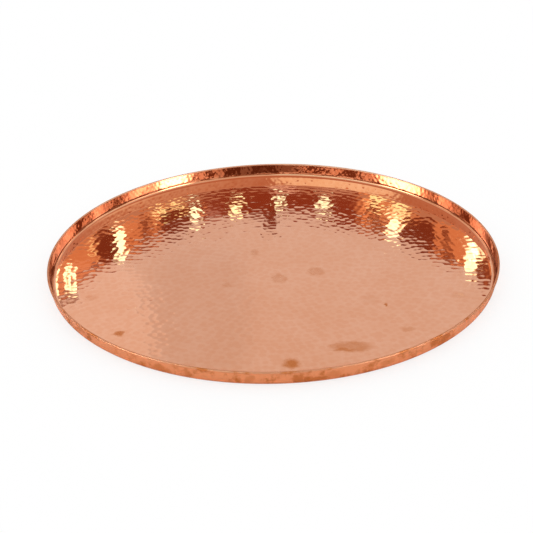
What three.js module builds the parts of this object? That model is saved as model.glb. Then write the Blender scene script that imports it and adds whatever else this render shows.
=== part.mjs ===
// Round copper serving tray with a low upright wall and a wired lip.
//
// The pan is one copper sheet: a flat floor, a tight corner, a short wall that leans out a
// little, and a lip rolled outwards and down round a wire hoop. Millimetres, +Z up. The origin
// is on the tray's axis, at the underside that stands on the table.

import * as THREE from 'three';

// Overall size
const LIP_DIAMETER = 330;
const TRAY_HEIGHT = 10.6;

// Sheet, corner and wall
const SHEET_THICKNESS = 0.6;
const CORNER_RADIUS = 2.0;
const WALL_LEAN = THREE.MathUtils.degToRad(5);

// Wired lip
const WIRE_DIAMETER = 0.5;
const WIRE_CLEARANCE = 0.05;
const SEAM_GAP = 0.15;
const WIRE_BUTT_GAP = 0.4;

// Facets
const TURN_SEGMENTS = 120;
const CORNER_SEGMENTS = 5;
const ROLL_SEGMENTS = 12;
const WIRE_SIDES = 10;

// The roll: the sheet wraps the wire, with the clearance between them.
const rollInside = WIRE_DIAMETER / 2 + WIRE_CLEARANCE;
const rollOutside = rollInside + SHEET_THICKNESS;
const rollCentre = new THREE.Vector2(LIP_DIAMETER / 2 - rollOutside, TRAY_HEIGHT - rollOutside);

// Unit vector square to the wall, pointing into the tray, and its angle in the section.
const wallInward = new THREE.Vector2(-Math.cos(WALL_LEAN), Math.sin(WALL_LEAN));
const rollStart = Math.PI - WALL_LEAN;

// The turned edge stops short of the wall's outer face by the seam gap.
const seamAngle = Math.acos((rollInside - SEAM_GAP) / rollOutside);
const rollEnd = rollStart - (2 * Math.PI - seamAngle);

// The corner's inner and outer arcs share one centre, a corner radius above the floor and a
// corner radius in from the wall's inner face.
const cornerHeight = SHEET_THICKNESS + CORNER_RADIUS;
const wallFace = rollCentre.clone().addScaledVector(wallInward, rollOutside);
const cornerReach = (CORNER_RADIUS - (cornerHeight - wallFace.y) * wallInward.y) / wallInward.x;
const cornerCentre = new THREE.Vector2(wallFace.x + cornerReach, cornerHeight);
const floorAngle = -Math.PI / 2;
const wallAngle = -WALL_LEAN;

/** Points along an arc of the section, both ends included. */
function arc(centre, radius, from, to, segments) {
  return Array.from({ length: segments + 1 }, (_, index) => {
    const angle = THREE.MathUtils.lerp(from, to, index / segments);
    return new THREE.Vector2(radius * Math.cos(angle), radius * Math.sin(angle)).add(centre);
  });
}

/** Half section of the pan: underside, outer face, roll, inner face and floor, axis to axis. */
function panSection() {
  return [
    new THREE.Vector2(0, 0),
    ...arc(cornerCentre, CORNER_RADIUS + SHEET_THICKNESS, floorAngle, wallAngle, CORNER_SEGMENTS),
    ...arc(rollCentre, rollInside, rollStart, rollEnd, ROLL_SEGMENTS),
    ...arc(rollCentre, rollOutside, rollEnd, rollStart, ROLL_SEGMENTS),
    ...arc(cornerCentre, CORNER_RADIUS, wallAngle, floorAngle, CORNER_SEGMENTS),
    new THREE.Vector2(0, SHEET_THICKNESS),
  ];
}

/** The wire's centre line: a level hoop that is open by the butt gap between its two ends. */
class HoopCurve extends THREE.Curve {
  constructor(radius, gap) {
    super();
    this.radius = radius;
    this.halfGap = gap / (2 * radius);
  }

  getPoint(t, target = new THREE.Vector3()) {
    const angle = THREE.MathUtils.lerp(this.halfGap, 2 * Math.PI - this.halfGap, t);
    return target.set(this.radius * Math.cos(angle), this.radius * Math.sin(angle), 0);
  }
}

/** The round section of the wire. */
function wireSection() {
  const corners = Array.from({ length: WIRE_SIDES }, (_, index) => {
    const angle = (2 * Math.PI * index) / WIRE_SIDES;
    return new THREE.Vector2(Math.cos(angle), Math.sin(angle)).multiplyScalar(WIRE_DIAMETER / 2);
  });
  return new THREE.Shape(corners);
}

function makePan() {
  const geometry = new THREE.LatheGeometry(panSection(), TURN_SEGMENTS);
  geometry.rotateX(Math.PI / 2);
  const material = new THREE.MeshStandardMaterial({ color: 0xd99a79, roughness: 0.16, metalness: 1 });
  const pan = new THREE.Mesh(geometry, material);
  pan.name = 'tray_pan';
  return pan;
}

function makeWire() {
  const hoop = new HoopCurve(rollCentre.x, WIRE_BUTT_GAP);
  const geometry = new THREE.ExtrudeGeometry(wireSection(), { steps: TURN_SEGMENTS, extrudePath: hoop });
  const material = new THREE.MeshStandardMaterial({ color: 0xb87850, roughness: 0.4, metalness: 1 });
  const wire = new THREE.Mesh(geometry, material);
  wire.name = 'rim_wire';
  wire.position.z = rollCentre.y;
  return wire;
}

const copperTray = new THREE.Group();
copperTray.add(makePan(), makeWire());

export default copperTray;
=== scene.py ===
"""Looks of a round hammered copper tray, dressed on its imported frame.

The pan is spun from the section of one copper sheet: a flat floor, a tight corner, a low wall
and a lip rolled outwards round a wire. Hammer marks are then struck into its inside. The wire
hoop in the roll stays as the frame has it and gets its own finish. All lengths are metres in
the part's own frame, with +Z up and the viewer on the -Y side.
"""

import logging
import math
from dataclasses import dataclass
from enum import Enum
from functools import cache

import bmesh
import bpy
import numpy as np
from mathutils import Matrix, Vector
from mathutils.kdtree import KDTree


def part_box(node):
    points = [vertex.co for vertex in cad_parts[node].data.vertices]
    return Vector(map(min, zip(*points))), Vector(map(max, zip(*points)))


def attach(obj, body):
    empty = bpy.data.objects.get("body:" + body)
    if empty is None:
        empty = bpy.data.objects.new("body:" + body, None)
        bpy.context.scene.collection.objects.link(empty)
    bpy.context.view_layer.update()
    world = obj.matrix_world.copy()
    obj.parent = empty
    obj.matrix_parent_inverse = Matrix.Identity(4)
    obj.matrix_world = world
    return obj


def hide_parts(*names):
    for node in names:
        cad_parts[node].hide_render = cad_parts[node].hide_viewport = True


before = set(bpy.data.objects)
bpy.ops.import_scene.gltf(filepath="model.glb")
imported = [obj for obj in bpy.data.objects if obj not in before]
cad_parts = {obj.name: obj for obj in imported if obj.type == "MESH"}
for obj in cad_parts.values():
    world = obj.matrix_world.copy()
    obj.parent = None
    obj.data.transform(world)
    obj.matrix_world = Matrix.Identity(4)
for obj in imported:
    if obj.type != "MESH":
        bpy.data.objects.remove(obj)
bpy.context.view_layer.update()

LOG = logging.getLogger("copper_tray")
MM = 0.001
TURN = 2.0 * math.pi
HALF_TURN_DEGREES = 180.0
VIEW_RADII = 6.0
BODY = "root"

Colour = tuple[float, float, float]
Point = tuple[float, float]
Socket = bpy.types.NodeSocket
Value = Socket | float | tuple[float, ...]


def smooth_step(low: float, high: float, value: float) -> float:
    """Smooth rise from 0 at low to 1 at high; low may be the larger of the two."""
    share = min(1.0, max(0.0, (value - low) / (high - low)))
    return share * share * (3.0 - 2.0 * share)


class Stretch(Enum):
    """Stretches of the sheet's section, in order from the middle of the floor."""

    FLOOR = "floor"
    CORNER = "corner"
    WALL = "wall"
    ROLL = "roll"
    CUT_EDGE = "cut_edge"
    HOLLOW = "hollow"
    OUTSIDE = "outside"
    HEEL = "heel"
    UNDERSIDE = "underside"


class Side(Enum):
    """Sides of the sheet."""

    INSIDE = "inside"
    OUTSIDE = "outside"


@dataclass
class SheetSection:
    """Half section of the copper sheet, as radius and height, with its sizes."""

    lip_radius: float
    height: float
    thickness: float = 0.6 * MM
    corner_radius: float = 2.0 * MM
    wall_lean: float = math.radians(5.0)
    wire_radius: float = 0.25 * MM
    wire_clearance: float = 0.05 * MM
    seam_gap: float = 0.15 * MM
    floor_step: float = 1.1 * MM
    wall_step: float = 0.8 * MM
    underside_step: float = 20.0 * MM
    corner_steps: int = 5
    roll_steps: int = 14
    hollow_steps: int = 8

    def __post_init__(self) -> None:
        """Work out the roll, the corner and the stretches from the driving sizes."""
        self.roll_inside = self.wire_radius + self.wire_clearance
        self.roll_outside = self.roll_inside + self.thickness
        self.roll_centre = Vector((self.lip_radius - self.roll_outside, self.height - self.roll_outside))
        self.wall_inward = Vector((-math.cos(self.wall_lean), math.sin(self.wall_lean)))
        face = self.roll_centre + self.wall_inward * self.roll_outside
        corner_height = self.thickness + self.corner_radius
        drop = (corner_height - face.y) * self.wall_inward.y
        reach_in = (self.corner_radius - drop) / self.wall_inward.x
        self.corner_centre = Vector((face.x + reach_in, corner_height))
        self.floor_radius = self.corner_centre.x
        self.stretches = self._lay_out()
        self.ends = self._measure()

    @staticmethod
    def _arc(centre: Vector, radius: float, start: float, stop: float, steps: int) -> list[Vector]:
        """Points of an arc in the section, both ends included.

        Args:
            centre: Middle of the arc.
            radius: Radius of the arc.
            start: Angle of the first point.
            stop: Angle of the last point.
            steps: Number of straight steps.

        Returns:
            The points in order.
        """
        angles = [start + (stop - start) * index / steps for index in range(steps + 1)]
        return [centre + Vector((math.cos(angle), math.sin(angle))) * radius for angle in angles]

    @staticmethod
    def _line(start: Vector, stop: Vector, step: float) -> list[Vector]:
        """Points along a straight line, about a step apart, both ends included."""
        count = max(1, math.ceil((stop - start).length / step))
        return [start.lerp(stop, index / count) for index in range(count + 1)]

    def _lay_out(self) -> dict[Stretch, list[Vector]]:
        """Lay out every stretch's points, in order round the sheet.

        Returns:
            The points of each stretch.
        """
        roll_start = math.pi - self.wall_lean
        seam_angle = math.acos((self.roll_inside - self.seam_gap) / self.roll_outside)
        roll_end = roll_start - (TURN - seam_angle)
        down, level = -math.pi / 2.0, -self.wall_lean
        heel_radius = self.corner_radius + self.thickness
        corner = self._arc(self.corner_centre, self.corner_radius, down, level, self.corner_steps)
        roll = self._arc(self.roll_centre, self.roll_outside, roll_start, roll_end, self.roll_steps)
        hollow = self._arc(self.roll_centre, self.roll_inside, roll_end, roll_start, self.hollow_steps)
        heel = self._arc(self.corner_centre, heel_radius, level, down, self.corner_steps)
        return {
            Stretch.FLOOR: self._line(Vector((0.0, self.thickness)), corner[0], self.floor_step),
            Stretch.CORNER: corner,
            Stretch.WALL: self._line(corner[-1], roll[0], self.wall_step),
            Stretch.ROLL: roll,
            Stretch.CUT_EDGE: [roll[-1], hollow[0]],
            Stretch.HOLLOW: hollow,
            Stretch.OUTSIDE: self._line(hollow[-1], heel[0], 2.0 * self.wall_step),
            Stretch.HEEL: heel,
            Stretch.UNDERSIDE: self._line(heel[-1], Vector((0.0, 0.0)), self.underside_step),
        }

    def _measure(self) -> dict[Stretch, float]:
        """Measure along the sheet from the middle of the floor.

        Returns:
            The distance to the end of each stretch.
        """
        ends: dict[Stretch, float] = {}
        along = 0.0
        for stretch, points in self.stretches.items():
            along += sum((b - a).length for a, b in zip(points, points[1:]))
            ends[stretch] = along
        return ends

    def outline(self) -> list[tuple[Vector, float]]:
        """Join the stretches into one line, with each point once.

        Returns:
            The points in order, with their distance along the sheet.
        """
        points = [self.stretches[Stretch.FLOOR][0]]
        for stretch in self.stretches.values():
            points.extend(stretch[1:])
        along = [0.0]
        for a, b in zip(points, points[1:]):
            along.append(along[-1] + (b - a).length)
        return list(zip(points, along))


@dataclass(frozen=True)
class Hammer:
    """One hammer and how it was swung.

    Each blow leaves a round hollow as deep as `depth` that ends at `reach`. A hollow with a higher
    `flatness` has a flatter bed and a sharper ridge round it. `wander` is the share of the pitch by
    which a blow strays, and `unevenness` the share by which its depth varies. `tall` stretches the
    marks up the wall.
    """

    pitch: float
    reach: float
    flatness: float
    depth: float
    wander: float
    unevenness: float
    seed: int
    row_share: float = 0.88
    tall: float = 1.0

    def scatter(self, rng: np.random.Generator) -> tuple[float, float, float]:
        """Draw one blow's stray along the row, across the row, and its depth."""
        along, across = rng.uniform(-self.wander, self.wander, 2) * self.pitch
        return along, across, self.depth * (1.0 + rng.uniform(-self.unevenness, self.unevenness))


class HammerMarks:
    """The hollows that one hammer left, found by place."""

    NEIGHBOURS = 4

    def __init__(self, hammer: Hammer, blows: list[tuple[Vector, float]]) -> None:
        """Store the blows in a search tree.

        Args:
            hammer: The hammer that struck them.
            blows: Place and depth of each blow.
        """
        self.hammer = hammer
        self.depths = [depth for _, depth in blows]
        self.tree = KDTree(len(blows))
        for index, (place, _) in enumerate(blows):
            self.tree.insert(self._flatten(place), index)
        self.tree.balance()

    def _flatten(self, place: Vector) -> Vector:
        """Shorten heights, so that a mark is taller than it is wide."""
        return Vector((place.x, place.y, place.z / self.hammer.tall))

    def depth_at(self, place: Vector) -> float:
        """Find how deep the deepest mark at a place is.

        Args:
            place: A point of the sheet's inside.

        Returns:
            The depth, 0 between marks.
        """
        reach, flatness = self.hammer.reach, self.hammer.flatness
        found = self.tree.find_n(self._flatten(place), self.NEIGHBOURS)
        return max(0.0, *(self.depths[index] * (1.0 - (gap / reach) ** flatness) for _, index, gap in found))

    @classmethod
    def in_rings(cls, hammer: Hammer, radius: float, height: float) -> "HammerMarks":
        """Strike a flat floor in rings, from the middle out.

        Args:
            hammer: The hammer used.
            radius: Radius of the struck floor.
            height: Height of the floor.

        Returns:
            The marks.
        """
        rng = np.random.default_rng(hammer.seed)
        blows = []
        row = hammer.pitch * hammer.row_share
        for ring in range(math.ceil(radius / row) + 1):
            ring_radius = ring * row
            count = max(1, round(TURN * ring_radius / hammer.pitch))
            offset = rng.uniform(0.0, TURN)
            for index in range(count):
                along, across, depth = hammer.scatter(rng)
                angle = offset + TURN * index / count + along / max(ring_radius, hammer.pitch)
                out = ring_radius + across
                blows.append((Vector((out * math.cos(angle), out * math.sin(angle), height)), depth))
        return cls(hammer, blows)

    @classmethod
    def in_rows(cls, hammer: Hammer, section: SheetSection, rows: int) -> "HammerMarks":
        """Strike the wall in level rows, each half a mark round from the last.

        Args:
            hammer: The hammer used.
            section: The sheet, for the wall's place and lean.
            rows: Number of rows up the wall.

        Returns:
            The marks.
        """
        rng = np.random.default_rng(hammer.seed)
        wall = section.stretches[Stretch.WALL]
        count = round(TURN * wall[0].x / hammer.pitch)
        blows = []
        for row in range(rows):
            middle = wall[0].lerp(wall[-1], (row + 0.5) / rows)
            for index in range(count):
                along, across, depth = hammer.scatter(rng)
                angle = TURN * (index + 0.5 * (row % 2)) / count + along / middle.x
                rise = middle.y + across * hammer.tall
                place = Vector((middle.x * math.cos(angle), middle.x * math.sin(angle), rise))
                blows.append((place, depth))
        return cls(hammer, blows)


@dataclass(frozen=True)
class Ripple:
    """One slow wave left in the floor by uneven hammering."""

    length: float
    heading: float
    phase: float
    height: float

    def at(self, place: Vector) -> float:
        """Find the height of the wave at a place.

        Args:
            place: A point of the floor.

        Returns:
            The height, which may be below 0.
        """
        heading = math.radians(self.heading)
        across = place.x * math.cos(heading) + place.y * math.sin(heading)
        return self.height * math.sin(TURN * across / self.length + self.phase)


@dataclass(frozen=True)
class Grain:
    """A noise pattern: grains per metre, finer layers and their weight, and where it fades in."""

    scale: float
    detail: float
    roughness: float
    low: float = 0.0
    high: float = 1.0


class NodeSheet:
    """A node tree with short ways to add nodes and join them."""

    def __init__(self, tree: bpy.types.NodeTree) -> None:
        """Take over a tree and empty it."""
        self.tree = tree
        tree.nodes.clear()

    def node(self, kind: str, **settings: object) -> bpy.types.Node:
        """Add a node and set its properties.

        Args:
            kind: Node type.
            settings: Properties of the node by name.

        Returns:
            The node.
        """
        made = self.tree.nodes.new(kind)
        for name, value in settings.items():
            setattr(made, name, value)
        return made

    def feed(self, target: Socket, value: Value) -> None:
        """Join a socket to an input, or set the input's own value.

        Args:
            target: The input.
            value: A socket to join, or the value itself.
        """
        if isinstance(value, bpy.types.NodeSocket):
            self.tree.links.new(value, target)
        else:
            target.default_value = value

    def math(self, operation: str, *values: Value) -> Socket:
        """Add a Math node.

        Args:
            operation: What the node does.
            values: Up to three values.

        Returns:
            The result.
        """
        made = self.node("ShaderNodeMath", operation=operation)
        for target, value in zip(made.inputs, values):
            self.feed(target, value)
        return made.outputs[0]

    def vector(self, operation: str, *values: Value) -> bpy.types.Node:
        """Add a Vector Math node.

        Args:
            operation: What the node does.
            values: Up to three vectors.

        Returns:
            The node.
        """
        made = self.node("ShaderNodeVectorMath", operation=operation)
        for target, value in zip(made.inputs, values):
            self.feed(target, value)
        return made

    def fade(self, value: Value, start: Value, stop: Value, low: Value = 0.0, high: Value = 1.0) -> Socket:
        """A smooth, clamped change from low at start to high at stop.

        Args:
            value: The value that drives the change.
            start: Where the change starts.
            stop: Where it ends.
            low: Result up to the start.
            high: Result from the stop on.

        Returns:
            The result.
        """
        made = self.node("ShaderNodeMapRange", interpolation_type="SMOOTHSTEP")
        for target, number in zip(made.inputs, (value, start, stop, low, high)):
            self.feed(target, number)
        return made.outputs[0]

    def mix(self, share: Value, first: Value, second: Value) -> Socket:
        """Mix two colours.

        Args:
            share: Share of the second colour.
            first: The first colour.
            second: The second colour.

        Returns:
            The mixed colour.
        """
        made = self.node("ShaderNodeMix", data_type="RGBA")
        colours = [socket for socket in made.inputs if socket.type == "RGBA"]
        self.feed(made.inputs[0], share)
        for target, value in zip(colours, (first, second)):
            self.feed(target, value if isinstance(value, bpy.types.NodeSocket) else (*value, 1.0))
        return next(socket for socket in made.outputs if socket.type == "RGBA")

    def noise(self, place: Value, grain: Grain) -> bpy.types.Node:
        """Add a noise texture.

        Args:
            place: Coordinates.
            grain: Size and layers of the noise.

        Returns:
            The noise node.
        """
        made = self.node("ShaderNodeTexNoise")
        self.feed(made.inputs["Vector"], place)
        self.feed(made.inputs["Scale"], grain.scale)
        self.feed(made.inputs["Detail"], grain.detail)
        self.feed(made.inputs["Roughness"], grain.roughness)
        return made

    def pattern(self, place: Value, grain: Grain, strength: Value = 1.0) -> Socket:
        """A noise that fades in from 0 to its strength."""
        return self.fade(self.noise(place, grain).outputs[0], grain.low, grain.high, 0.0, strength)


class NodeGroup:
    """A node group with named inputs and one result."""

    CLOUDS = Grain(22.0, 4.0, 0.6, 0.38, 0.66)
    SPECKS = Grain(420.0, 3.0, 0.7, 0.5, 0.75)
    BLOTCHES = Grain(75.0, 4.0, 0.65, 0.44, 0.62)
    BLOTCH_DARKNESS = 0.85
    UNDERSIDE_SHARE = 0.3
    # Painted shade on the lip: where it starts and where it is full.
    CREST_FOOT, CREST_TOP = 9.5 * MM, 10.1 * MM
    RIM_START, RIM_END = 158.0 * MM, 161.0 * MM
    # Painted contact shadow round the heel: where it starts, where it is full, and how dark it gets.
    HEEL_TOP, HEEL_FULL, HEEL_DARKNESS = 1.5 * MM, 0.3 * MM, 0.8
    SPOT_EDGE, SPOT_FULL = 1.25, 0.5
    HOLLOW_EDGE, HOLLOW_FULL = 0.8, 0.3
    PATCH_POWER = 4.0

    def __init__(self, name: str, inputs: dict[str, str]) -> None:
        """Make the group's tree with its inputs and its output.

        Args:
            name: Name of the group.
            inputs: Socket type of each input by name.
        """
        self.tree = bpy.data.node_groups.new(name, "ShaderNodeTree")
        self.sheet = NodeSheet(self.tree)
        for label, kind in inputs.items():
            self.tree.interface.new_socket(label, in_out="INPUT", socket_type=kind)
        self.tree.interface.new_socket("Result", in_out="OUTPUT", socket_type="NodeSocketFloat")
        self.inputs = self.sheet.node("NodeGroupInput").outputs

    def close(self, result: Socket) -> None:
        """Join the group's result to its output."""
        self.sheet.feed(self.sheet.node("NodeGroupOutput").inputs[0], result)

    def use(self, sheet: NodeSheet, values: dict[str, Value]) -> Socket:
        """Place the group in a tree.

        Args:
            sheet: The tree that uses the group.
            values: What each input gets, by name.

        Returns:
            The group's result.
        """
        made = sheet.node("ShaderNodeGroup", node_tree=self.tree)
        for label, value in values.items():
            sheet.feed(made.inputs[label], value)
        return made.outputs[0]

    @classmethod
    @cache
    def cloudy_bloom(cls) -> "NodeGroup":
        """Slow, cloudy change of tint over the metal.

        Returns:
            The group.
        """
        group = cls("cloudy_bloom", {"Place": "NodeSocketVector"})
        group.close(group.sheet.pattern(group.inputs["Place"], cls.CLOUDS))
        return group

    @classmethod
    @cache
    def fine_speckle(cls) -> "NodeGroup":
        """Fine dark specks all over the metal.

        Returns:
            The group.
        """
        group = cls("fine_speckle", {"Place": "NodeSocketVector", "Strength": "NodeSocketFloat"})
        group.close(group.sheet.pattern(group.inputs["Place"], cls.SPECKS, group.inputs["Strength"]))
        return group

    @classmethod
    @cache
    def lip_crest(cls) -> "NodeGroup":
        """Painted shade: a darker tone on the upper half of the rolled lip, by height, that dulls its
        reflections.

        Returns:
            The group.
        """
        group = cls("lip_crest", {"Place": "NodeSocketVector"})
        split = group.sheet.node("ShaderNodeSeparateXYZ")
        group.sheet.feed(split.inputs[0], group.inputs["Place"])
        group.close(group.sheet.fade(split.outputs[2], cls.CREST_FOOT, cls.CREST_TOP))
        return group

    @classmethod
    @cache
    def outside_ageing(cls) -> "NodeGroup":
        """Blotches of tarnish on the outside, fainter underneath, and a painted contact shadow: a dark line
        round the heel.

        Returns:
            The group.
        """
        group = cls("outside_ageing", {"Place": "NodeSocketVector", "Outside": "NodeSocketFloat"})
        sheet, given = group.sheet, group.inputs
        split = sheet.node("ShaderNodeSeparateXYZ")
        sheet.feed(split.inputs[0], given["Place"])
        east, north, height = split.outputs
        square = sheet.math("MULTIPLY_ADD", north, north, sheet.math("MULTIPLY", east, east))
        rim = sheet.fade(sheet.math("SQRT", square), cls.RIM_START, cls.RIM_END)
        # Painted contact shadow: the outside gets darker towards the bottom of the heel, only round the rim.
        low = sheet.fade(height, cls.HEEL_TOP, cls.HEEL_FULL, 0.0, cls.HEEL_DARKNESS)
        heel = sheet.math("MULTIPLY", low, rim)
        share = sheet.math("MULTIPLY_ADD", rim, 1.0 - cls.UNDERSIDE_SHARE, cls.UNDERSIDE_SHARE)
        blotches = sheet.pattern(given["Place"], cls.BLOTCHES, cls.BLOTCH_DARKNESS)
        blotches = sheet.math("MULTIPLY", blotches, share)
        group.close(sheet.math("MULTIPLY", sheet.math("MAXIMUM", heel, blotches), given["Outside"]))
        return group

    @classmethod
    @cache
    def tarnish_spot(cls) -> "NodeGroup":
        """A spot that is full inside its reach and fades at its edge; `Hollow` pales its middle.

        Returns:
            The group.
        """
        kinds = {name: "NodeSocketVector" for name in ("Place", "Middle", "Reach")}
        kinds |= {name: "NodeSocketFloat" for name in ("Strength", "Hollow")}
        group = cls("tarnish_spot", kinds)
        sheet, given = group.sheet, group.inputs
        offset = sheet.vector("SUBTRACT", given["Place"], given["Middle"]).outputs[0]
        scaled = sheet.vector("DIVIDE", offset, given["Reach"]).outputs[0]
        gap = sheet.vector("LENGTH", scaled).outputs["Value"]
        spot = sheet.fade(gap, cls.SPOT_EDGE, cls.SPOT_FULL, 0.0, given["Strength"])
        paler = sheet.math("MULTIPLY", sheet.fade(gap, cls.HOLLOW_EDGE, cls.HOLLOW_FULL), given["Hollow"])
        group.close(sheet.math("MULTIPLY", spot, sheet.math("SUBTRACT", 1.0, paler)))
        return group

    @classmethod
    @cache
    def light_patch(cls) -> "NodeGroup":
        """A soft patch of the studio with round corners, by the direction of a ray in degrees.

        Returns:
            The group.
        """
        names = ("Azimuth", "Elevation", "Middle Azimuth", "Middle Elevation")
        names += ("Half Width", "Half Height", "Core", "Strength")
        group = cls("light_patch", {name: "NodeSocketFloat" for name in names})
        sheet, given = group.sheet, group.inputs
        turn = sheet.math("SUBTRACT", given["Azimuth"], given["Middle Azimuth"])
        turn = sheet.math("WRAP", turn, HALF_TURN_DEGREES, -HALF_TURN_DEGREES)
        across = sheet.math("DIVIDE", turn, given["Half Width"])
        rise = sheet.math("SUBTRACT", given["Elevation"], given["Middle Elevation"])
        rise = sheet.math("DIVIDE", rise, given["Half Height"])
        across, rise = (sheet.math("POWER", side, cls.PATCH_POWER) for side in (across, rise))
        reach = sheet.math("POWER", sheet.math("ADD", across, rise), 1.0 / cls.PATCH_POWER)
        group.close(sheet.fade(reach, 1.0, given["Core"], 0.0, given["Strength"]))
        return group


@dataclass(frozen=True)
class Stain:
    """A patch of tarnish: its middle, half widths, darkness, how much paler its middle is, and its side."""

    middle: tuple[float, float, float]
    reach: tuple[float, float, float]
    strength: float
    hollow: float = 0.0
    side: Side = Side.INSIDE


@dataclass(frozen=True)
class CopperFinish:
    """A copper surface: its colours, its gloss and its tarnish, with painted shade in the corner, on the
    lip's top and round the heel.
    """

    name: str
    polished: Colour
    blush: Colour
    # Colour of the worn beds of the marks, also used for the painted shade in the corner crease.
    worn: Colour
    outer: Colour
    # Painted shade: darker colour for the upper outside of the rolled lip.
    lip: Colour
    tarnish: Colour
    gloss: float
    stains: tuple[Stain, ...] = ()
    bed_start: float = 0.45
    bed_end: float = 1.1
    bed_wear: float = 0.3
    corner_start: float = 1.5
    corner_end: float = 2.0
    # Painted shade: how far the corner crease is darkened towards the worn colour.
    corner_wear: float = 0.35
    speckle: float = 0.1
    bloom_haze: float = 0.012
    outside_haze: float = 0.42
    stain_haze: float = 0.18
    ragged: Grain = Grain(170.0, 4.0, 0.6)
    ragged_shift: float = 9.0 * MM

    def material(self) -> bpy.types.Material:
        """Make the material.

        Returns:
            The material, ready to assign.
        """
        made = bpy.data.materials.new(self.name)
        made.use_nodes = True
        sheet = NodeSheet(made.node_tree)
        place = sheet.node("ShaderNodeTexCoord").outputs["Object"]
        shader = sheet.node("ShaderNodeBsdfPrincipled")
        shader.inputs["Metallic"].default_value = 1.0
        bloom = NodeGroup.cloudy_bloom().use(sheet, {"Place": place})
        colour = sheet.mix(bloom, self.polished, self.blush)
        hollow = sheet.node("ShaderNodeAttribute", attribute_name="mark_depth").outputs["Fac"]
        beds = sheet.fade(hollow, self.bed_start, self.bed_end, 0.0, self.bed_wear)
        # Painted shade in the corner crease; the beds of the marks show real wear.
        corner = sheet.fade(hollow, self.corner_start, self.corner_end, 0.0, self.corner_wear)
        rubbed = sheet.math("ADD", beds, corner)
        colour = sheet.mix(rubbed, colour, self.worn)
        outside = sheet.node("ShaderNodeAttribute", attribute_name="outside").outputs["Fac"]
        colour = sheet.mix(outside, colour, self.outer)
        # Painted shade on the upper outside of the rolled lip.
        crest = sheet.math("MULTIPLY", NodeGroup.lip_crest().use(sheet, {"Place": place}), outside)
        colour = sheet.mix(crest, colour, self.lip)
        # Real tarnish blotches on the outside, together with the painted contact shadow round the heel.
        aged = NodeGroup.outside_ageing().use(sheet, {"Place": place, "Outside": outside})
        stained = sheet.math("MAXIMUM", self._stains(sheet, place, outside), aged)
        speckle = NodeGroup.fine_speckle().use(sheet, {"Place": place, "Strength": self.speckle})
        colour = sheet.mix(sheet.math("MAXIMUM", stained, speckle), colour, self.tarnish)
        sheet.feed(shader.inputs["Base Color"], colour)
        haze = sheet.math("MULTIPLY_ADD", bloom, self.bloom_haze, self.gloss)
        haze = sheet.math("MULTIPLY_ADD", outside, self.outside_haze, haze)
        dulled = sheet.math("MULTIPLY_ADD", stained, self.stain_haze, haze)
        sheet.feed(shader.inputs["Roughness"], dulled)
        output = sheet.node("ShaderNodeOutputMaterial")
        sheet.feed(output.inputs["Surface"], shader.outputs[0])
        return made

    def _stains(self, sheet: NodeSheet, place: Socket, outside: Socket) -> Socket:
        """Build the tarnish mask.

        Args:
            sheet: The material's nodes.
            place: Object coordinates.
            outside: Mask of the sheet's outside.

        Returns:
            The mask, 1 where tarnish is full.
        """
        middle_grey = (0.5, 0.5, 0.5)
        wobble = sheet.vector("SUBTRACT", sheet.noise(place, self.ragged).outputs[1], middle_grey)
        shift = sheet.vector("SCALE", wobble.outputs[0])
        shift.inputs["Scale"].default_value = self.ragged_shift
        ragged = sheet.vector("ADD", place, shift.outputs[0]).outputs[0]
        spot = NodeGroup.tarnish_spot()
        shares = {Side.INSIDE: sheet.math("SUBTRACT", 1.0, outside), Side.OUTSIDE: outside}
        mask = sheet.math("ADD", 0.0, 0.0)
        for stain in self.stains:
            strength = sheet.math("MULTIPLY", shares[stain.side], stain.strength)
            values = {"Place": ragged, "Middle": stain.middle, "Reach": stain.reach}
            values |= {"Strength": strength, "Hollow": stain.hollow}
            mask = sheet.math("MAXIMUM", mask, spot.use(sheet, values))
        return mask


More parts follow.
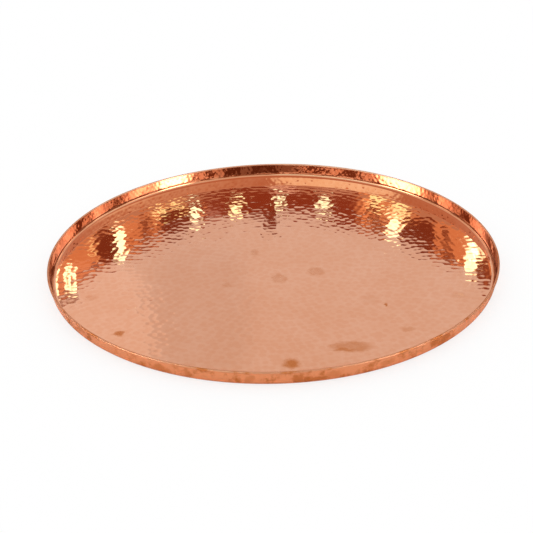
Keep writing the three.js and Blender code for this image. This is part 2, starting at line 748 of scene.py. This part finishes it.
@dataclass
class TrayPan:
    """The hammered pan: one sheet of copper from the floor to the rolled lip."""

    section: SheetSection
    finish: CopperFinish
    floor_hammer: Hammer = Hammer(5.4 * MM, 3.5 * MM, 3.0, 0.017 * MM, 0.2, 0.25, 7)
    wall_hammer: Hammer = Hammer(4.0 * MM, 2.6 * MM, 2.0, 0.09 * MM, 0.22, 0.4, 11, tall=1.1)
    wall_rows: int = 3
    turn_steps: int = 160
    ripples: tuple[Ripple, ...] = (
        Ripple(88.0 * MM, 20.0, 0.4, 0.012 * MM),
        Ripple(71.0 * MM, 102.0, 2.1, 0.01 * MM),
        Ripple(53.0 * MM, 63.0, 4.0, 0.006 * MM),
    )
    heavy_place: Point = (-68.0 * MM, -72.0 * MM)
    heavy_reach: float = 70.0 * MM
    heavy_core: float = 0.4
    heavy_gain: float = 2.2
    edge_fade: float = 2.5 * MM
    wall_foot_share: float = 0.4
    wall_top_share: float = 0.2
    # Tag that marks the corner for its painted shade in the material.
    corner_depth: float = 2.0
    first_ring: float = 0.25
    second_ring: float = 0.5
    roll_shoulder: float = 0.6
    roll_start: float = 0.05
    outside_start: float = 0.12
    outside_length: float = 0.18
    merge_gap: float = 0.0005 * MM
    ring_gap: float = 0.001 * MM
    sharp_angle: float = math.radians(50.0)

    def build(self) -> bpy.types.Object:
        """Spin, refine and hammer the pan, and put it in the scene.

        Returns:
            The finished object.
        """
        bm = bmesh.new()
        along = bm.verts.layers.float.new("along")
        depth = bm.verts.layers.float.new("mark_depth")
        outside = bm.verts.layers.float.new("outside")
        self._spin(bm, along)
        self._refine(bm, along)
        bmesh.ops.recalc_face_normals(bm, faces=bm.faces[:])
        bm.normal_update()
        self._strike(bm, along, depth)
        self._mark_outside(bm, along, outside)
        for face in bm.faces:
            face.smooth = True
        mesh = bpy.data.meshes.new("hammered_pan")
        bm.to_mesh(mesh)
        bm.free()
        mesh.set_sharp_from_angle(angle=self.sharp_angle)
        mesh.materials.append(self.finish.material())
        pan = bpy.data.objects.new("hammered_pan", mesh)
        bpy.context.scene.collection.objects.link(pan)
        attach(pan, BODY)
        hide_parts("tray_pan")
        return pan

    def _spin(self, bm: bmesh.types.BMesh, along: bmesh.types.BMLayerItem) -> None:
        """Spin the section round the tray's axis and close the two poles.

        Args:
            bm: The empty mesh.
            along: Layer that gets each vertex's distance along the sheet.
        """
        verts = []
        for point, distance in self.section.outline():
            vert = bm.verts.new((point.x, 0.0, point.y))
            vert[along] = distance
            verts.append(vert)
        edges = [bm.edges.new(pair) for pair in zip(verts, verts[1:])]
        bmesh.ops.spin(
            bm,
            geom=verts + edges,
            cent=(0.0, 0.0, 0.0),
            axis=(0.0, 0.0, 1.0),
            dvec=(0.0, 0.0, 0.0),
            angle=TURN,
            steps=self.turn_steps,
            use_merge=True,
            use_duplicate=False,
        )
        bmesh.ops.remove_doubles(bm, verts=bm.verts[:], dist=self.merge_gap)

    def _refine(self, bm: bmesh.types.BMesh, along: bmesh.types.BMLayerItem) -> None:
        """Double the steps round the tray where marks lie and where the circle is wide.

        Args:
            bm: The spun mesh.
            along: Layer with each vertex's distance along the sheet.
        """
        ends = self.section.ends
        floor_radius = self.section.floor_radius
        wall_end = ends[Stretch.WALL]
        roll_length = ends[Stretch.ROLL] - wall_end
        zones = (
            (self.first_ring * floor_radius, ends[Stretch.ROLL]),
            (self.second_ring * floor_radius, wall_end + self.roll_shoulder * roll_length),
            (ends[Stretch.FLOOR], wall_end + self.roll_start * roll_length),
        )
        steps = self.turn_steps
        for start, stop in zones:
            rings = [
                edge
                for edge in bm.edges
                if abs(edge.verts[0][along] - edge.verts[1][along]) < self.ring_gap
                and start <= edge.verts[0][along] <= stop
            ]
            made = bmesh.ops.subdivide_edges(bm, edges=rings, cuts=1, use_grid_fill=True)
            out = 1.0 / math.cos(math.pi / steps)
            new = [item for item in made["geom_inner"] if isinstance(item, bmesh.types.BMVert)]
            bmesh.ops.scale(bm, vec=(out, out, 1.0), verts=new)
            steps *= 2

    def _strike(
        self,
        bm: bmesh.types.BMesh,
        along: bmesh.types.BMLayerItem,
        depth: bmesh.types.BMLayerItem,
    ) -> None:
        """Press the hammer marks and the slow ripples into the inside of the pan.

        Args:
            bm: The refined mesh.
            along: Layer with each vertex's distance along the sheet.
            depth: Layer that gets how deep the mark is, as a share of an ordinary blow; the corner gets a
                fixed tag instead, which calls up its painted shade.
        """
        section = self.section
        ends = section.ends
        floor = HammerMarks.in_rings(self.floor_hammer, section.floor_radius, section.thickness)
        wall = HammerMarks.in_rows(self.wall_hammer, section, self.wall_rows)
        floor_end, wall_start, wall_end = ends[Stretch.FLOOR], ends[Stretch.CORNER], ends[Stretch.WALL]
        fade = self.edge_fade
        struck = [vert for vert in bm.verts if vert[along] < wall_end + fade]
        for vert in struck:
            place, distance = vert.co.copy(), vert[along]
            press = 0.0
            if distance < floor_end:
                inner = smooth_step(floor_end, floor_end - fade, distance)
                mark = floor.depth_at(place)
                swell = sum(ripple.at(place) for ripple in self.ripples)
                press = inner * (mark * self._weight(place) + swell)
                vert[depth] = inner * mark / self.floor_hammer.depth
            elif distance < wall_start:
                # The corner has no marks; this tag calls up its painted shade in the material.
                vert[depth] = self.corner_depth
            else:
                foot, top = self.wall_foot_share * fade, self.wall_top_share * fade
                low = smooth_step(wall_start, wall_start + foot, distance)
                high = smooth_step(wall_end + foot, wall_end - top, distance)
                mark = wall.depth_at(place)
                press = low * high * mark
                vert[depth] = low * high * mark / self.wall_hammer.depth
            vert.co = place - vert.normal * press

    def _weight(self, place: Vector) -> float:
        """How much heavier the blows fell at a place of the floor; 1 is the usual blow."""
        gap = math.dist(place.xy, self.heavy_place)
        return 1.0 + self.heavy_gain * smooth_step(self.heavy_reach, self.heavy_core * self.heavy_reach, gap)

    def _mark_outside(
        self,
        bm: bmesh.types.BMesh,
        along: bmesh.types.BMLayerItem,
        outside: bmesh.types.BMLayerItem,
    ) -> None:
        """Mark the duller outside of the pan, from the top of the roll on.

        Args:
            bm: The struck mesh.
            along: Layer with each vertex's distance along the sheet.
            outside: Layer that gets 1 on the outside and 0 on the inside.
        """
        ends = self.section.ends
        roll_length = ends[Stretch.ROLL] - ends[Stretch.WALL]
        start = ends[Stretch.WALL] + self.outside_start * roll_length
        stop = start + self.outside_length * roll_length
        for vert in bm.verts:
            vert[outside] = smooth_step(start, stop, vert[along])


@dataclass
class RimWire:
    """The wire hoop inside the rolled lip, shown as the frame has it."""

    finish: CopperFinish

    def dress(self) -> bpy.types.Object:
        """Give the wire its finish.

        Returns:
            The wire's object.
        """
        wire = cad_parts["rim_wire"]
        wire.data.materials.clear()
        wire.data.materials.append(self.finish.material())
        return wire


@dataclass(frozen=True)
class Glow:
    """A soft bright patch of the studio, as the copper sees it. Angles are in degrees.

    Azimuth 0 is straight behind the tray and positive to the viewer's right.
    """

    azimuth: float
    elevation: float
    half_width: float
    half_height: float
    colour: Colour
    strength: float
    core: float = 0.4

    def spread(self, sheet: NodeSheet, patch: NodeGroup, azimuth: Socket, elevation: Socket) -> Socket:
        """How strong the patch is in a ray's direction.

        Args:
            sheet: The world's nodes.
            patch: The node group of a soft patch.
            azimuth: Azimuth of the ray in degrees.
            elevation: Elevation of the ray in degrees.

        Returns:
            Its strength there.
        """
        values = {"Azimuth": azimuth, "Elevation": elevation}
        values |= {"Middle Azimuth": self.azimuth, "Middle Elevation": self.elevation}
        values |= {"Half Width": self.half_width, "Half Height": self.half_height}
        values |= {"Core": self.core, "Strength": self.strength}
        return patch.use(sheet, values)


@dataclass
class Studio:
    """Plain pale floor, soft white light all round, and lamps behind a round overhead panel."""

    floor_opening: float
    floor_radius: float = 8.0
    floor_segments: int = 96
    floor_white: float = 0.93
    shadow_lift: float = 0.75
    panel_low: float = 25.5
    panel_rise: float = 0.029
    panel_cap: float = 30.0
    brink_height: float = 0.28
    brink_share: float = 0.7
    belt_low: float = 21.5
    belt_edge: float = 2.5
    belt_end: float = 13.0
    belt_colour: Colour = (0.36, 0.08, 0.034)
    amber_start: float = 4.1
    amber_colour: Colour = (0.98, 0.46, 0.22)
    dusk_colour: Colour = (0.72, 0.42, 0.28)
    dusk_low: float = 24.3
    dusk_rise: float = 0.0235
    panel_colour: Colour = (1.0, 1.0, 1.0)
    room_colour: Colour = (1.5, 1.3, 1.1)
    room_dark: Colour = (0.3, 0.13, 0.07)
    room_patches: Grain = Grain(9.0, 2.0, 0.5, 0.44, 0.58)
    panel_soft: float = 0.1
    dusk_soft: float = 0.08
    amber_soft: float = 0.3
    belt_fade: float = 5.0
    floor_drop: float = 0.2 * MM
    blocks: tuple[Glow, ...] = ()
    lamps: tuple[Glow, ...] = ()
    glows: tuple[Glow, ...] = ()
    shades: tuple[Glow, ...] = ()

    def build(self) -> None:
        """Make the floor and the world."""
        self._make_floor()
        self._make_world()

    def _make_floor(self) -> None:
        """A pale floor that keeps the tray's shadow. It is open under the tray and clear from below."""
        bm = bmesh.new()
        below = Matrix.Translation((0.0, 0.0, -self.floor_drop))
        sides = self.floor_segments
        for radius in (self.floor_radius, self.floor_opening):
            bmesh.ops.create_circle(bm, cap_ends=False, radius=radius, segments=sides, matrix=below)
        bmesh.ops.bridge_loops(bm, edges=bm.edges[:])
        bmesh.ops.recalc_face_normals(bm, faces=bm.faces[:])
        if sum(face.normal.z for face in bm.faces) < 0.0:
            bmesh.ops.reverse_faces(bm, faces=bm.faces[:])
        mesh = bpy.data.meshes.new("studio_floor")
        bm.to_mesh(mesh)
        bm.free()
        made = bpy.data.materials.new("floor_white")
        made.use_nodes = True
        sheet = NodeSheet(made.node_tree)
        paint = sheet.node("ShaderNodeBsdfDiffuse")
        white = self.floor_white
        paint.inputs["Color"].default_value = (white, white, white, 1.0)
        lift = sheet.node("ShaderNodeEmission")
        light_path = sheet.node("ShaderNodeLightPath").outputs
        seen = sheet.math("MAXIMUM", light_path["Is Camera Ray"], light_path["Is Glossy Ray"])
        sheet.feed(lift.inputs["Strength"], sheet.math("MULTIPLY", seen, 1.0 - white))
        both = sheet.node("ShaderNodeAddShader")
        sheet.feed(both.inputs[0], paint.outputs[0])
        sheet.feed(both.inputs[1], lift.outputs[0])
        plain = sheet.node("ShaderNodeEmission")
        pale = sheet.node("ShaderNodeMixShader")
        sheet.feed(pale.inputs[0], sheet.math("MULTIPLY", light_path["Is Camera Ray"], self.shadow_lift))
        sheet.feed(pale.inputs[1], both.outputs[0])
        sheet.feed(pale.inputs[2], plain.outputs[0])
        clear = sheet.node("ShaderNodeBsdfTransparent")
        side = sheet.node("ShaderNodeMixShader")
        sheet.feed(side.inputs[0], sheet.node("ShaderNodeNewGeometry").outputs["Backfacing"])
        sheet.feed(side.inputs[1], pale.outputs[0])
        sheet.feed(side.inputs[2], clear.outputs[0])
        output = sheet.node("ShaderNodeOutputMaterial")
        sheet.feed(output.inputs["Surface"], side.outputs[0])
        mesh.materials.append(made)
        floor = bpy.data.objects.new("studio_floor", mesh)
        bpy.context.scene.collection.objects.link(floor)

    def _make_world(self) -> None:
        """White to the camera and to the floor, a lit room to the copper."""
        world = bpy.data.worlds.new("studio")
        world.use_nodes = True
        bpy.context.scene.world = world
        sheet = NodeSheet(world.node_tree)
        heading = sheet.node("ShaderNodeTexCoord").outputs["Generated"]
        split = sheet.node("ShaderNodeSeparateXYZ")
        sheet.feed(split.inputs[0], heading)
        east, north, up = split.outputs
        elevation = sheet.math("DEGREES", sheet.math("ARCSINE", up))
        azimuth = sheet.math("DEGREES", sheet.math("ARCTAN2", east, north))
        bow = sheet.math("POWER", azimuth, 2.0)
        edge = sheet.math("MULTIPLY_ADD", bow, self.panel_rise, self.panel_low)
        edge = sheet.math("MINIMUM", edge, self.panel_cap)
        above = sheet.math("SUBTRACT", elevation, edge)
        soft, foot = self.panel_soft, -self.brink_height
        panel = sheet.fade(above, -soft, soft)
        brink = sheet.fade(above, foot - soft, foot + soft, 0.0, self.brink_share)
        horizon = sheet.math("MULTIPLY_ADD", bow, self.dusk_rise, self.dusk_low)
        dusk = sheet.fade(sheet.math("SUBTRACT", elevation, horizon), self.dusk_soft, -self.dusk_soft)
        below = sheet.fade(elevation, self.belt_low, self.belt_low - self.belt_edge)
        turned = sheet.math("ABSOLUTE", azimuth)
        aside = sheet.fade(turned, self.belt_end, self.belt_end + self.belt_fade)
        patchy = sheet.pattern(heading, self.room_patches)
        room = sheet.mix(patchy, self.room_dark, self.room_colour)
        amber = sheet.fade(turned, self.amber_start - self.amber_soft, self.amber_start + self.amber_soft)
        colour = sheet.mix(amber, self.belt_colour, self.amber_colour)
        colour = sheet.mix(brink, colour, self.belt_colour)
        patch = NodeGroup.light_patch()
        for block in self.blocks:
            colour = sheet.mix(block.spread(sheet, patch, azimuth, elevation), colour, block.colour)
        colour = sheet.mix(dusk, colour, self.dusk_colour)
        colour = sheet.mix(sheet.math("MAXIMUM", below, aside), colour, room)
        for lamp in self.lamps:
            colour = self._add_light(sheet, colour, lamp, lamp.spread(sheet, patch, azimuth, elevation))
        colour = sheet.mix(panel, colour, self.panel_colour)
        for shade in self.shades:
            colour = sheet.mix(shade.spread(sheet, patch, azimuth, elevation), colour, shade.colour)
        for glow in self.glows:
            colour = self._add_light(sheet, colour, glow, glow.spread(sheet, patch, azimuth, elevation))
        light_path = sheet.node("ShaderNodeLightPath").outputs
        colour = sheet.mix(light_path["Is Glossy Ray"], (1.0, 1.0, 1.0), colour)
        background = sheet.node("ShaderNodeBackground")
        sheet.feed(background.inputs["Color"], colour)
        output = sheet.node("ShaderNodeOutputWorld")
        sheet.feed(output.inputs["Surface"], background.outputs[0])

    @staticmethod
    def _add_light(sheet: NodeSheet, colour: Socket, glow: Glow, strength: Socket) -> Socket:
        """Add one patch's light to a colour.

        Args:
            sheet: The world's nodes.
            colour: The colour so far.
            glow: The patch.
            strength: How strong the patch is in the ray's direction.

        Returns:
            The colour with the patch's light.
        """
        light = sheet.vector("SCALE", glow.colour)
        sheet.feed(light.inputs["Scale"], strength)
        return sheet.vector("ADD", colour, light.outputs[0]).outputs[0]


@dataclass
class PhotoCamera:
    """The photograph's viewpoint, from the lip and base circles fitted in it."""

    target: Vector
    distance: float
    elevation: float = math.radians(27.7)
    roll: float = math.radians(-1.38)
    focal_pixels: float = 1338.0
    target_pixel: Point = (273.3, 265.4)
    frame_pixels: int = 533
    sensor: float = 36.0

    def build(self) -> bpy.types.Object:
        """Make the camera and set it as the scene's.

        Returns:
            The camera.
        """
        data = bpy.data.cameras.new("photo_camera")
        data.sensor_width = self.sensor
        data.lens = self.focal_pixels / self.frame_pixels * self.sensor
        middle = self.frame_pixels / 2.0
        data.shift_x = (middle - self.target_pixel[0]) / self.frame_pixels
        data.shift_y = (self.target_pixel[1] - middle) / self.frame_pixels
        data.clip_start, data.clip_end = 0.01, 100.0
        camera = bpy.data.objects.new("photo_camera", data)
        bpy.context.scene.collection.objects.link(camera)
        back = Vector((0.0, -math.cos(self.elevation), math.sin(self.elevation)))
        aim = (-back).to_track_quat("-Z", "Y").to_matrix().to_4x4()
        place = Matrix.Translation(self.target + back * self.distance)
        camera.matrix_world = place @ aim @ Matrix.Rotation(self.roll, 4, "Z")
        bpy.context.scene.camera = camera
        return camera


LAMP_WHITE = (0.58, 0.95, 0.78)
LAMP_AMBER = (1.0, 0.62, 0.3)
LAMP_YELLOW = (0.6, 1.0, 0.6)
LAMP_CREAM = (0.7, 1.0, 0.72)
SOFT_WHITE = (1.0, 0.97, 0.92)
COOL_WHITE = (0.45, 1.2, 1.5)
SHADE_BROWN = (0.16, 0.07, 0.04)
SHADE_RED = (0.29, 0.07, 0.03)

HAMMERED_COPPER = CopperFinish(
    name="hammered_copper",
    polished=(0.70, 0.33, 0.195),
    blush=(0.72, 0.355, 0.22),
    worn=(0.64, 0.24, 0.11),
    outer=(0.80, 0.32, 0.15),
    # Painted shade for the upper outside of the rolled lip.
    lip=(0.59, 0.255, 0.14),
    tarnish=(0.505, 0.15, 0.034),
    gloss=0.02,
    stains=(
        Stain((0.010, -0.1386, 0.001), (0.006, 0.007, 0.004), 1.0),
        Stain((0.050, -0.1195, 0.001), (0.0145, 0.007, 0.004), 0.75, 0.25),
        Stain((0.046, -0.123, 0.001), (0.009, 0.002, 0.004), 0.85),
        Stain((0.031, -0.0127, 0.001), (0.0065, 0.0065, 0.004), 0.48, 0.4),
        Stain((0.0043, -0.0216, 0.001), (0.006, 0.008, 0.004), 0.45, 0.4),
        Stain((-0.0137, 0.021, 0.001), (0.0035, 0.006, 0.004), 0.32),
        Stain((-0.0336, -0.0288, 0.001), (0.004, 0.005, 0.004), 0.32),
        Stain((-0.1057, -0.0949, 0.001), (0.0037, 0.0037, 0.004), 0.9),
        Stain((0.090, -0.098, 0.001), (0.0055, 0.0035, 0.004), 0.38),
        Stain((0.0785, -0.0639, 0.001), (0.0021, 0.0027, 0.004), 1.0),
        Stain((0.067, -0.055, 0.001), (0.007, 0.008, 0.004), 0.14),
        Stain((0.130, -0.053, 0.001), (0.005, 0.005, 0.004), 0.2),
        Stain((-0.1297, -0.044, 0.001), (0.005, 0.005, 0.004), 0.2),
        Stain((0.014, -0.163, 0.004), (0.005, 0.004, 0.0035), 0.75, side=Side.OUTSIDE),
        Stain((0.026, -0.1615, 0.0025), (0.012, 0.004, 0.0022), 0.75, side=Side.OUTSIDE),
        Stain((-0.0743, -0.1458, 0.003), (0.009, 0.006, 0.0032), 0.6, side=Side.OUTSIDE),
        Stain((-0.017, -0.163, 0.0045), (0.004, 0.004, 0.003), 0.4, side=Side.OUTSIDE),
        Stain((0.036, -0.160, 0.005), (0.007, 0.005, 0.003), 0.4, side=Side.OUTSIDE),
        Stain((0.073, -0.147, 0.005), (0.006, 0.005, 0.003), 0.4, side=Side.OUTSIDE),
        Stain((-0.057, -0.153, 0.005), (0.0018, 0.005, 0.005), 0.5, side=Side.OUTSIDE),
    ),
)
WIRE_COPPER = CopperFinish(
    name="wire_copper",
    polished=(0.48, 0.19, 0.08),
    blush=(0.52, 0.22, 0.1),
    worn=(0.4, 0.15, 0.06),
    outer=(0.4, 0.15, 0.06),
    lip=(0.4, 0.15, 0.06),
    tarnish=(0.2, 0.07, 0.03),
    gloss=0.35,
)
BLOCKS = (
    Glow(-7.87, 26.5, 0.57, 0.71, SHADE_RED, 1.0, 0.7),
    Glow(-8.55, 27.75, 0.16, 0.7, SHADE_RED, 0.9, 0.6),
    Glow(-5.96, 25.66, 0.32, 0.37, SHADE_RED, 0.9, 0.6),
    Glow(-6.03, 26.3, 0.23, 0.46, SHADE_RED, 0.6, 0.5),
    Glow(-4.6, 25.66, 0.87, 0.62, SHADE_RED, 1.0, 0.75),
    Glow(4.82, 25.46, 0.31, 0.31, SHADE_RED, 0.9, 0.6),
    Glow(5.08, 26.15, 0.32, 0.57, SHADE_RED, 0.6, 0.5),
    Glow(6.9, 26.35, 0.9, 0.86, SHADE_RED, 1.0, 0.75),
    Glow(8.15, 26.4, 0.21, 0.34, SHADE_RED, 0.9, 0.6),
    Glow(8.3, 27.25, 0.34, 0.75, SHADE_RED, 0.7, 0.5),
    Glow(10.1, 27.75, 0.46, 0.8, SHADE_RED, 0.9, 0.6),
)
LAMPS = (
    Glow(-9.82, 27.75, 0.21, 0.64, LAMP_WHITE, 3.6, 0.7),
    Glow(-8.57, 26.5, 0.26, 0.25, LAMP_YELLOW, 0.9, 0.3),
    Glow(-7.22, 26.4, 0.31, 0.8, LAMP_WHITE, 3.6, 0.5),
    Glow(-5.33, 25.18, 0.5, 0.17, LAMP_YELLOW, 1.9, 0.4),
    Glow(-4.47, 24.98, 0.5, 0.18, LAMP_YELLOW, 1.9, 0.4),
    Glow(-3.63, 25.37, 0.28, 0.62, LAMP_WHITE, 3.6, 0.5),
    Glow(-3.19, 25.23, 0.2, 0.25, LAMP_AMBER, 0.9, 0.3),
    Glow(-2.75, 25.35, 0.75, 0.35, SOFT_WHITE, 0.28, 0.2),
    Glow(-1.65, 25.2, 0.4, 0.38, LAMP_CREAM, 3.2, 0.3),
    Glow(0.32, 24.99, 0.32, 0.38, LAMP_WHITE, 3.2, 0.4),
    Glow(2.49, 25.1, 0.42, 0.42, LAMP_WHITE, 3.2, 0.4),
    Glow(4.4, 25.3, 0.25, 0.6, LAMP_AMBER, 0.3, 0.4),
    Glow(0.55, 24.22, 1.0, 0.2, SOFT_WHITE, 0.5, 0.4),
    Glow(2.9, 24.35, 1.2, 0.2, SOFT_WHITE, 0.15, 0.4),
    Glow(4.96, 25.0, 0.58, 0.22, LAMP_YELLOW, 1.9, 0.4),
    Glow(6.02, 25.33, 0.58, 0.27, LAMP_YELLOW, 1.9, 0.4),
    Glow(5.75, 26.25, 0.35, 0.8, LAMP_WHITE, 3.6, 0.5),
    Glow(9.41, 27.4, 0.33, 0.95, LAMP_WHITE, 3.6, 0.5),
    Glow(9.75, 26.87, 0.38, 0.42, LAMP_WHITE, 3.2, 0.5),
)
GLOWS = (
    Glow(126.0, 19.0, 13.0, 9.0, SOFT_WHITE, 16.0, 0.3),
    Glow(107.0, 19.0, 14.0, 9.0, SOFT_WHITE, 3.5, 0.2),
    Glow(-107.0, 19.0, 18.0, 9.0, SOFT_WHITE, 15.0, 0.2),
    Glow(76.0, 18.0, 10.0, 9.0, SOFT_WHITE, 2.0, 0.1),
    Glow(-76.0, 18.0, 10.0, 9.0, SOFT_WHITE, 2.0, 0.1),
    Glow(40.0, 20.0, 14.0, 9.0, SOFT_WHITE, 1.4, 0.1),
    Glow(-40.0, 20.0, 14.0, 9.0, SOFT_WHITE, 1.4, 0.1),
    Glow(-140.0, 39.0, 43.0, 9.0, COOL_WHITE, 1.8, 0.8),
    Glow(110.0, 39.0, 70.0, 9.0, COOL_WHITE, 0.35, 0.5),
    Glow(85.0, 38.0, 50.0, 8.0, COOL_WHITE, 0.7, 0.1),
    Glow(-10.8, 32.0, 5.0, 5.0, SOFT_WHITE, 0.11, 0.97),
)
SHADES = (
    Glow(174.0, 15.0, 29.0, 10.0, SHADE_BROWN, 0.8, 0.5),
    Glow(60.0, 7.0, 70.0, 9.0, SHADE_BROWN, 0.85, 0.5),
    Glow(-60.0, 7.0, 70.0, 9.0, SHADE_BROWN, 0.85, 0.5),
    Glow(-3.6, 29.5, 3.0, 4.0, SHADE_BROWN, 0.08, 0.5),
    Glow(-0.06, 25.75, 0.32, 0.45, SHADE_RED, 1.0, 0.6),
    Glow(-0.75, 25.5, 0.5, 0.3, SHADE_RED, 0.65, 0.3),
    Glow(-9.9, 28.5, 0.45, 0.2, SHADE_RED, 0.9, 0.5),
)


def main() -> None:
    """Build the camera, the tray and the studio, and report each piece."""
    logging.basicConfig(level=logging.INFO, format="%(name)s: %(message)s")
    low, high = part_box("tray_pan")
    lip_radius = (high.x - low.x) / 2.0
    PhotoCamera(target=Vector((0.0, 0.0, 0.0)), distance=VIEW_RADII * lip_radius).build()
    section = SheetSection(lip_radius=lip_radius, height=high.z)
    pan = TrayPan(section, HAMMERED_COPPER).build()
    LOG.info("%s: %d faces", pan.name, len(pan.data.polygons))
    wire = RimWire(WIRE_COPPER).dress()
    LOG.info("%s: %d faces", wire.name, len(wire.data.polygons))
    studio = Studio(section.floor_radius, blocks=BLOCKS, lamps=LAMPS, glows=GLOWS, shades=SHADES)
    studio.build()
    LOG.info("studio: %d lamps and %d soft lights", len(LAMPS), len(GLOWS))
    bpy.context.scene.view_settings.view_transform = "Standard"


if __name__ == "__main__":
    main()
